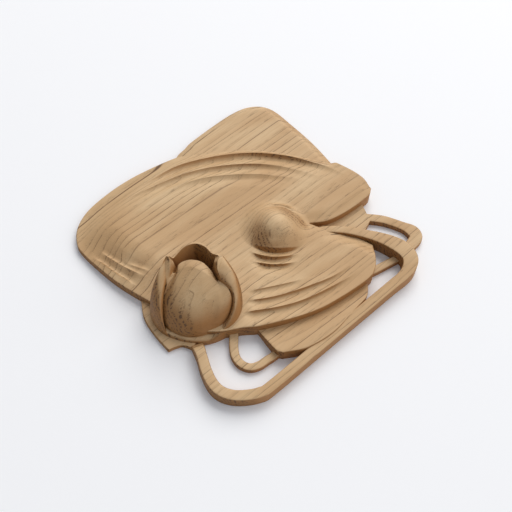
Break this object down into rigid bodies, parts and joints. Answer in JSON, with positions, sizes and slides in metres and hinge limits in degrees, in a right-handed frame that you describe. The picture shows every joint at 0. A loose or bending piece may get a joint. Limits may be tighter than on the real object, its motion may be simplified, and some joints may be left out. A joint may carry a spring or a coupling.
{
  "type": "wood rosette applique",
  "caption": "Square carved oak applique: a shell-shaped pad with a closed rose bud, leaves and looping stems, flat on the back so that it can be glued to furniture or a door.",
  "frame": {"origin": "centre of the bounding box on the flat back", "axes": "+Z out of the carved face, +X along the wood's grain, with the bud towards -X and -Y"},
  "size_m": [0.1007, 0.1003, 0.0211],
  "materials": {
    "oak": "bare carved and sanded oak, unvarnished"
  },
  "bodies": {
    "root": {"carved_rosette": "oak"}
  },
  "joints": []
}
